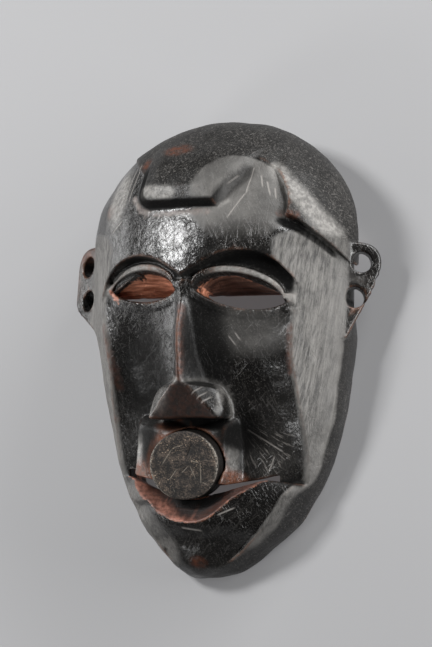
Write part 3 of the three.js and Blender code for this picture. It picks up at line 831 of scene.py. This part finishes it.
def scored(face, start, end, width=0.7):
    """One scratch between two points of the face, in the carver's millimetres."""
    dx, dy = end[0] - start[0], end[1] - start[1]
    length = math.hypot(dx, dy)
    settings = {"operation": "DOT_PRODUCT"}
    offset = face.node("ShaderNodeVectorMath", {"operation": "SUBTRACT"}, {0: face, 1: (*start, 0.0)})
    along = face.node("ShaderNodeVectorMath", settings, {0: offset, 1: (dx / length, dy / length, 0)}, 1)
    aside = face.node("ShaderNodeVectorMath", settings, {0: offset, 1: (-dy / length, dx / length, 0)}, 1)
    cut = (1 - abs(aside).over(0.3 * width, width)) * along.over(0, 2)
    return cut * (1 - along.over(length - 3, length))


def scratches(place, turn, spacing, ratio, width, share):
    """Short straight scratches along one direction; sizes in millimetres, share of them kept."""
    settings = {"feature": "F1"}
    inputs = {"Vector": place.along(turn, (1.0, ratio, 8.0)), "Scale": 1000 / spacing}
    near = place.node("ShaderNodeTexVoronoi", settings, inputs)
    shade = place.node("ShaderNodeTexVoronoi", settings, inputs, 1)
    pick = place.node("ShaderNodeSeparateColor", {}, {0: shade})
    return (1 - near.over(0.4 * width / spacing, width / spacing)) * pick.over(1 - share, 1.02 - share)


DEEP_SCRATCHES = (
    ((37, 66), (36, 46)), ((36, 48), (27, 30)), ((42, 61), (45, 51)), ((46, 57), (50, 46)),
    ((51, 53), (53, 44)), ((-43, 72), (-46, 44)), ((-47, 70), (-50, 42)), ((-51, 64), (-54, 40)),
    ((30, 60), (24, 52)),
    ((31, -93), (55, -107)), ((45, -119), (49, -108)), ((24, -38), (29, -45)), ((28, -36), (32, -42)),
    ((-3, -156), (12, -158)), ((22, -149), (33, -143)),
    ((7, -78), (14, -71)), ((10, -81), (17, -74)), ((13, -83), (20, -77)), ((-58, 26), (-48, 34)),
)
FAN_MIDDLE = (22.0, -84.0, 0.0)
BLACK_PATINA = (0.007, 0.0066, 0.0062)
GREY_FILM_AND_SHEEN = (0.12, 0.115, 0.108)
BAND_GREY_AND_SHEEN = (0.19, 0.182, 0.17)
HAIR_GREY = (0.13, 0.123, 0.115)
SOOT_AND_SHADE = (0.003, 0.003, 0.003)
PALE_WEAR_AND_HIGHLIGHT = (0.26, 0.25, 0.235)
SCRATCH_GREY = (0.3, 0.28, 0.26)
WORN_RED = (0.1, 0.034, 0.018)
WORN_EDGE = (0.16, 0.075, 0.045)
RAW_WOOD = (0.85, 0.38, 0.24)
RAW_DARK = (0.2, 0.06, 0.026)
MOUTH_WOOD_IN_SHADE = (0.055, 0.018, 0.011)
MOUTH_DARK = (0.012, 0.005, 0.003)
PINK_LEDGE = (0.36, 0.16, 0.115)
ORANGE_WEAR = (0.16, 0.052, 0.022)

patina, tree, shader, place = finish_named("black_patina")


def painted(name):
    """Where a finish lies on the piece that is being made, as paint() stored it."""
    return place.node("ShaderNodeAttribute", {"attribute_name": name}, {}, "Fac")


film_and_sheen_here = painted("grey_film_and_sheen")
band_here = painted("side_band")
worn_here = painted("worn_red")
raw_here = painted("raw_wood")
ledge_here = painted("pink_ledge")
hair_here = painted("hair_cut")
edge_here = painted("rubbed_edge")
soot_and_shade_here = painted("soot_and_shade")
pale_here = painted("pale_wear_and_highlight")
fan_here = painted("knife_fan")
mouth_here = painted("mouth_wood_in_shade")
orange_here = painted("orange_wear")
polish_here = painted("polish")

face = face_of(place)
cloud = place.noise(28.0, 4.0, 0.6)
lumps = place.noise(130.0, 3.0, 0.55)
fibre = place.along(-0.06, (1.0, 12.0, 1.0)).noise(560.0, 5.0, 0.7).over(0.32, 0.68)
speckle = place.noise(1000.0, 3.0, 0.7)
flecks = scratches(place, 0.9, 2.6, 2.2, 0.6, 0.55).either(scratches(place, -0.6, 3.1, 3.0, 0.6, 0.5))
scratched = scratches(place, 0.55, 5.0, 12.0, 0.26, 0.16)
scratched = scratched.either(scratches(place, -0.75, 6.0, 14.0, 0.28, 0.16))
scratched = scratched.either(scratches(place, 1.35, 7.0, 14.0, 0.26, 0.16))
scratched = scratched.either(scratches(place, 0.1, 8.0, 16.0, 0.28, 0.18))
for start, end in DEEP_SCRATCHES:
    scratched = scratched.either(scored(face, start, end))
specks = place.noise(1100.0, 3.0, 0.65).over(0.56, 0.7)
strokes = place.along(0.5, (1.0, 9.0, 4.0)).noise(900.0, 3.0, 0.6).over(0.56, 0.66)
strokes = strokes.either(place.along(-0.8, (1.0, 10.0, 4.0)).noise(800.0, 3.0, 0.6).over(0.57, 0.67))
strokes = strokes.either(place.along(0.0, (1.0, 12.0, 4.0)).noise(700.0, 3.0, 0.6).over(0.58, 0.68))
strokes = strokes * (0.4 + 0.6 * place.noise(60.0, 3.0, 0.6).over(0.42, 0.6))

from_fan = face.node("ShaderNodeVectorMath", {"operation": "SUBTRACT"}, {0: face, 1: FAN_MIDDLE})
fan_x = from_fan.node("ShaderNodeSeparateXYZ", {}, {0: from_fan}, 0)
fan_y = from_fan.node("ShaderNodeSeparateXYZ", {}, {0: from_fan}, 1)
fan_turn = fan_x.math("ARCTAN2", fan_y, fan_x)
fan_reach = (fan_x ** 2 + fan_y ** 2) ** 0.5
fan_place = fan_x.node("ShaderNodeCombineXYZ", {}, {0: 26 * fan_turn, 1: 0.11 * fan_reach, 2: 0.0})
fan = fan_here * fan_place.noise(1.0, 3.0, 0.6).over(0.54, 0.66)

film_and_sheen_amount = film_and_sheen_here * (0.5 + 0.5 * cloud.over(0.38, 0.6)) * (1 - band_here * (0.85 - fibre))
film_and_sheen_amount = film_and_sheen_amount + 0.05 * cloud.over(0.45, 0.62) * (1 - soot_and_shade_here) + 0.1 * fan_here
# Grey film, with painted sheen on the right cheek, the eyelid tops and the side bands.
colour = film_and_sheen_amount.math("MINIMUM", film_and_sheen_amount, 1.0).tint(BLACK_PATINA, GREY_FILM_AND_SHEEN)
streaks = place.along(-0.12, (1.0, 5.0, 1.0)).noise(380.0, 5.0, 0.75).over(0.36, 0.6)
# The side bands are painted a lighter streaky grey, film and painted sheen together.
colour = (band_here * streaks * (0.5 + 0.5 * fibre)).tint(colour, BAND_GREY_AND_SHEEN)
hair_specks = place.noise(850.0, 4.0, 0.75).over(0.54, 0.66)
colour = (hair_here * (0.5 * flecks).either(0.8 * hair_specks)).tint(colour, HAIR_GREY)
marks = scratched.either(0.35 * specks).either(0.7 * fan).either(0.16 * strokes * (1 - soot_and_shade_here))
colour = (marks * 0.6).tint(colour, SCRATCH_GREY)
mottle = place.noise(330.0, 4.0, 0.65).over(0.36, 0.66)
colour = (worn_here * (0.2 + 0.8 * mottle)).tint(colour, WORN_RED)
# Pale wear, and painted highlights where the light catches the lids, the hair, the temple and the lip pad.
colour = (pale_here * (0.4 + 0.6 * mottle + 0.2 * fibre)).tint(colour, PALE_WEAR_AND_HIGHLIGHT)
colour = (orange_here * (0.35 + 0.65 * mottle)).tint(colour, ORANGE_WEAR)
# Soot and painted shade: near black in the hollows, under the nose, deep in the mouth and in the right eye
# slit.
colour = (soot_and_shade_here * 0.8).tint(colour, SOOT_AND_SHADE)
colour = (edge_here * (cloud + 0.6 * speckle).over(0.7, 0.95) * 0.7).tint(colour, WORN_EDGE)
wood_streaks = place.along(0.0, (9.0, 1.0, 1.0)).noise(420.0, 3.0, 0.6)
wood_tone = wood_streaks.over(0.3, 0.7)
# Inside the mouth the raw wood is painted dark, as shade.
raw_colour = mouth_here.tint(wood_tone.tint(RAW_DARK, RAW_WOOD), wood_tone.tint(MOUTH_DARK, MOUTH_WOOD_IN_SHADE))
raw_colour = (ledge_here * (0.35 + 0.65 * mottle)).tint(raw_colour, PINK_LEDGE)
raw_shown = (raw_here + 0.7 * mottle - 0.35).over(0.2, 0.8)
colour = (raw_shown * raw_here.over(0.0, 0.4)).tint(colour, raw_colour)
# Painted shade on the raw wood deep in the mouth and in the right eye slit.
colour = (raw_here * soot_and_shade_here).tint(colour, SOOT_AND_SHADE)

roughness = 0.16 + 0.3 * film_and_sheen_here + 0.1 * cloud + 0.16 * hair_here + 0.1 * speckle
roughness = roughness + 0.25 * raw_here + 0.15 * worn_here + 0.2 * soot_and_shade_here - 0.08 * polish_here
relief = 1.2 * lumps + 0.55 * fibre * (0.1 + band_here) + 0.1 * speckle - 0.4 * scratched - 0.25 * strokes
relief = relief + 0.6 * hair_here * flecks + 0.8 * raw_here * wood_streaks
bump = place.node("ShaderNodeBump", {}, {"Strength": 0.6, "Distance": 0.0009, "Height": relief})
tree.links.new(colour.socket, shader.inputs["Base Color"])
tree.links.new(roughness.socket, shader.inputs["Roughness"])
tree.links.new(bump.socket, shader.inputs["Normal"])
dull = tree.nodes.new("ShaderNodeBsdfPrincipled")
tree.links.new(colour.socket, dull.inputs["Base Color"])
dull.inputs["Roughness"].default_value = 1.0
dull.inputs["Specular IOR Level"].default_value = 0.1
dull_mix = tree.nodes.new("ShaderNodeMixShader")
no_shine = (0.97 * soot_and_shade_here).either(0.45 * hair_here).either(0.5 * polish_here) * (1 - raw_here)
tree.links.new(no_shine.socket, dull_mix.inputs[0])
tree.links.new(shader.outputs[0], dull_mix.inputs[1])
tree.links.new(dull.outputs[0], dull_mix.inputs[2])
tree.links.new(dull_mix.outputs[0], tree.nodes["Material Output"].inputs["Surface"])
mask.data.materials.clear()
mask.data.materials.append(patina)
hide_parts("mask")
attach(mask, "root")


# The lip plug
# A short stopper of wood, sawn across the grain and pressed into a socket in the upper lip.
# Its outer face is matte grey-brown end grain, scratched and checked, with a pale ring along its rim.
PLUG_STEPS = 96
PLUG_CHAMFER = 1.0
END_GRAIN_DARK = (0.006, 0.0045, 0.0035)
END_GRAIN_LIGHT = (0.13, 0.097, 0.075)
END_GRAIN_CHIPS = (0.6, 0.45, 0.32)
PLUG_SCRATCH_GREY = (0.3, 0.26, 0.21)
PLUG_RIM_PALE = (0.3, 0.27, 0.23)
PLUG_SCRATCHES = (((12, -117), (12, -131)), ((5, -116), (12, -118)), ((-13, -119), (-6, -109)),
                  ((-6, -109), (2, -107)), ((-1, -124), (5, -119)), ((5, -119), (9, -128)),
                  ((-9, -128), (-3, -121)))
PLUG_SIDE = (0.005, 0.0045, 0.004)


def plug_height(r, angle):
    """Unevenness of the sawn face, in millimetres."""
    saw = 0.12 * np.sin(0.55 * r * np.cos(angle - 0.6)) + 0.1 * np.sin(0.4 * r * np.sin(angle) + 1.0)
    crack = -0.7 * np.exp(-((r * np.sin(angle - 1.2)) / 0.8) ** 2) * ramp(r, 2, 6) * (1 - ramp(r, 12, 17))
    return saw + crack * ramp(np.cos(angle - 1.2), 0.0, 0.3)


rings = [(0.0, 0.0)]
rings += [(r, 0.0) for r in np.linspace(1.2, PLUG_RADII[0] - PLUG_CHAMFER, 24)]
rings += [(PLUG_RADII[0] - 0.3, -0.3), (PLUG_RADII[0], -PLUG_CHAMFER)]
rings += [(PLUG_RADII[0] + 0.15 * math.sin(d), -d) for d in np.linspace(2.5, PLUG_LENGTH - 1, 9)]
rings += [(PLUG_RADII[0] - PLUG_CHAMFER, -PLUG_LENGTH), (0.0, -PLUG_LENGTH)]
turns = np.arange(PLUG_STEPS) * 2 * math.pi / PLUG_STEPS
plug_rows = []
for r, out in rings:
    wobble = 1 + 0.012 * np.sin(2 * turns + 0.7) + 0.006 * np.sin(5 * turns) if out > -8 else 1.0
    rise = plug_height(r, turns) * ramp(np.float64(-r), -21.6, -20.0) if out == 0 else 0.0
    across = r * wobble * np.cos(turns)
    up = r * wobble * np.sin(turns) * PLUG_RADII[1] / PLUG_RADII[0]
    plug_rows.append(np.array(PLUG_AT) + across[:, None] * PLUG_ACROSS + up[:, None] * PLUG_UP
                     + (out + rise * np.ones(PLUG_STEPS))[:, None] * PLUG_OUT)
plug_points = np.concatenate([[plug_rows[0].mean(0)]] + plug_rows[1:-1] + [[plug_rows[-1].mean(0)]])
plug_faces = []
for row in range(len(rings) - 3):
    for j in range(PLUG_STEPS):
        k = (j + 1) % PLUG_STEPS
        low, high = 1 + row * PLUG_STEPS, 1 + (row + 1) * PLUG_STEPS
        plug_faces.append((low + j, high + j, high + k, low + k))
last = len(plug_points) - 1
for j in range(PLUG_STEPS):
    k = (j + 1) % PLUG_STEPS
    plug_faces.append((0, 1 + j, 1 + k))
    plug_faces.append((last, last - PLUG_STEPS + k, last - PLUG_STEPS + j))
plug_mesh = bpy.data.meshes.new("lip_plug_wood")
plug_mesh.from_pydata(lying(plug_points).tolist(), [], plug_faces)
plug_mesh.polygons.foreach_set("use_smooth", np.ones(len(plug_mesh.polygons), bool))
plug = bpy.data.objects.new("lip_plug_wood", plug_mesh)
bpy.context.scene.collection.objects.link(plug)

px, py, pf = carved(points_of(plug_mesh)).T
plug_r = np.hypot(*plug_axes(px, py, pf)[:2])
plug_face = ramp(plug_axes(px, py, pf)[2], -1.2, -0.4)
paint(plug_mesh, "end_grain", plug_face)
paint(plug_mesh, "pale_rim", plug_face * ramp(plug_r, 20.8, 21.8))

end_grain, tree, shader, place = finish_named("grey_end_grain")
grain_here = painted("end_grain")
rim_here = painted("pale_rim")
pores = place.cells(900.0)
mottle = place.noise(180.0, 5.0, 0.7)
crumbs = place.noise(900.0, 4.0, 0.75)
saw_lines = scratches(place, 1.1, 2.6, 7.0, 0.3, 0.5)
saw_lines = saw_lines.either(scratches(place, -0.35, 3.0, 8.0, 0.3, 0.5))
saw_lines = saw_lines.either(scratches(place, 0.4, 3.4, 7.0, 0.3, 0.5)) * 0.8
face = face_of(place)
for start, end in PLUG_SCRATCHES:
    saw_lines = saw_lines.either(0.8 * scored(face, start, end, 0.45))
face_tone = (0.8 * mottle + 0.7 * crumbs - 0.2 * pores).over(0.55, 0.95)
face_colour = face_tone.tint(END_GRAIN_DARK, END_GRAIN_LIGHT)
chips = place.noise(1000.0, 3.0, 0.7).over(0.58, 0.68) * place.noise(90.0, 2.0, 0.5).over(0.46, 0.58)
face_colour = (0.8 * chips).tint(face_colour, END_GRAIN_CHIPS)
face_colour = (saw_lines * 0.6).tint(face_colour, PLUG_SCRATCH_GREY)
face_colour = (rim_here * crumbs.over(0.42, 0.56)).tint(face_colour, PLUG_RIM_PALE)
colour = grain_here.tint(PLUG_SIDE, face_colour)
bump_height = 0.8 * mottle + 0.9 * crumbs - 0.5 * pores - 0.5 * saw_lines
bump = place.node("ShaderNodeBump", {}, {"Strength": 0.7, "Distance": 0.0006, "Height": bump_height})
tree.links.new(colour.socket, shader.inputs["Base Color"])
tree.links.new((0.4 + 0.35 * grain_here).socket, shader.inputs["Roughness"])
tree.links.new(bump.socket, shader.inputs["Normal"])
plug_mesh.materials.append(end_grain)
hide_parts("lip_plug")
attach(plug, "root")


# The floor and the lights
# A plain pale floor, two small soft lights on the left, over the forehead and by the chin, and three
# long low soft boxes that rake the crown, the cheeks and the jaw.
FLOOR_HALF = 3.0
FLOOR_GREY = (0.3, 0.3, 0.305, 1)
FLOOR_GLOW = (0.5, 0.5, 0.52, 1)
STUDIO_GREY = (0.5, 0.5, 0.5, 1)
floor_mesh = bpy.data.meshes.new("floor")
floor_corners = [(-FLOOR_HALF, -FLOOR_HALF, 0), (FLOOR_HALF, -FLOOR_HALF, 0),
                 (FLOOR_HALF, FLOOR_HALF, 0), (-FLOOR_HALF, FLOOR_HALF, 0)]
floor_mesh.from_pydata(floor_corners, [], [(0, 1, 2, 3)])
floor = bpy.data.objects.new("floor", floor_mesh)
bpy.context.scene.collection.objects.link(floor)
floor_paint, tree, shader, place = finish_named("floor_paint")
shader.inputs["Base Color"].default_value = FLOOR_GREY
shader.inputs["Emission Color"].default_value = FLOOR_GLOW
shader.inputs["Emission Strength"].default_value = 0.16
shader.inputs["Roughness"].default_value = 0.7
floor_mesh.materials.append(floor_paint)

world = bpy.data.worlds.new("studio")
world.use_nodes = True
world.node_tree.nodes["Background"].inputs["Color"].default_value = STUDIO_GREY
world.node_tree.nodes["Background"].inputs["Strength"].default_value = 0.04
bpy.context.scene.world = world

MASK_MIDDLE = Vector((0.0, 0.0, 0.04))


def soft_light(name, direction, distance, width, height, watts):
    """A rectangular soft light that faces the middle of the mask."""
    light = bpy.data.lights.new(name, "AREA")
    light.shape = "RECTANGLE"
    light.size = width
    light.size_y = height
    light.energy = watts
    lamp = bpy.data.objects.new(name, light)
    lamp.location = MASK_MIDDLE + Vector(direction).normalized() * distance
    lamp.rotation_mode = "QUATERNION"
    lamp.rotation_quaternion = (MASK_MIDDLE - lamp.location).to_track_quat("-Z", "Y")
    bpy.context.scene.collection.objects.link(lamp)


soft_light("upper_left", (-0.53, 0.29, 0.8), 1.3, 0.3, 0.3, 15.0)
soft_light("upper_right", (0.54, 0.72, 0.32), 1.2, 0.7, 0.18, 10.0)
soft_light("right_side", (0.96, 0.12, 0.18), 1.0, 0.9, 0.2, 11.0)
soft_light("left_side", (-0.95, 0.1, 0.12), 1.1, 0.8, 0.2, 4.0)
soft_light("lower_left", (-0.6, -0.62, 0.5), 1.3, 0.3, 0.3, 4.0)


# The camera
# A long lens looks down on the lying mask, 27 degrees round to the mask's own left and 11 degrees
# from the chin side. The photograph's scale and a point of its frame set where the mask shows.
PHOTO_TURN = math.radians(27.0)
PHOTO_RAISE = math.radians(11.0)
PHOTO_ROLL = math.radians(4.0)
PHOTO_MM_PER_PIXEL = 0.617
PHOTO_SIZE = (432, 647)
PHOTO_ORIGIN = (230, 290)
CAMERA_DISTANCE = 2.4
FOCUS_F = 40.0

out = np.array([math.sin(PHOTO_TURN) * math.cos(PHOTO_RAISE), -math.sin(PHOTO_RAISE),
                math.cos(PHOTO_TURN) * math.cos(PHOTO_RAISE)])
up = np.array([math.sin(PHOTO_TURN) * math.sin(PHOTO_RAISE), math.cos(PHOTO_RAISE),
               math.cos(PHOTO_TURN) * math.sin(PHOTO_RAISE)])
right = np.array([math.cos(PHOTO_TURN), 0.0, -math.sin(PHOTO_TURN)])
frame_right = right * math.cos(PHOTO_ROLL) + up * math.sin(PHOTO_ROLL)
frame_up = up * math.cos(PHOTO_ROLL) - right * math.sin(PHOTO_ROLL)
aim = (frame_right * (PHOTO_SIZE[0] / 2 - PHOTO_ORIGIN[0])
       + frame_up * (PHOTO_ORIGIN[1] - PHOTO_SIZE[1] / 2)) * PHOTO_MM_PER_PIXEL
aim = aim + out * FOCUS_F * out[2]
camera_data = bpy.data.cameras.new("camera")
camera_data.sensor_width = 36.0
camera_data.lens = 36.0 * CAMERA_DISTANCE / (PHOTO_MM_PER_PIXEL * PHOTO_SIZE[1] / 1000)
camera_data.clip_start = 0.1
camera_data.clip_end = 20.0
camera = bpy.data.objects.new("camera", camera_data)
axes = [CARVED_TO_LYING @ v for v in (frame_right, frame_up, out)]
camera.matrix_world = (Matrix.Translation(Vector(lying(aim)) + Vector(axes[2]) * CAMERA_DISTANCE)
                       @ Matrix([list(v) for v in axes]).transposed().to_4x4())
bpy.context.scene.collection.objects.link(camera)
bpy.context.scene.camera = camera
bpy.context.scene.view_settings.view_transform = "Standard"
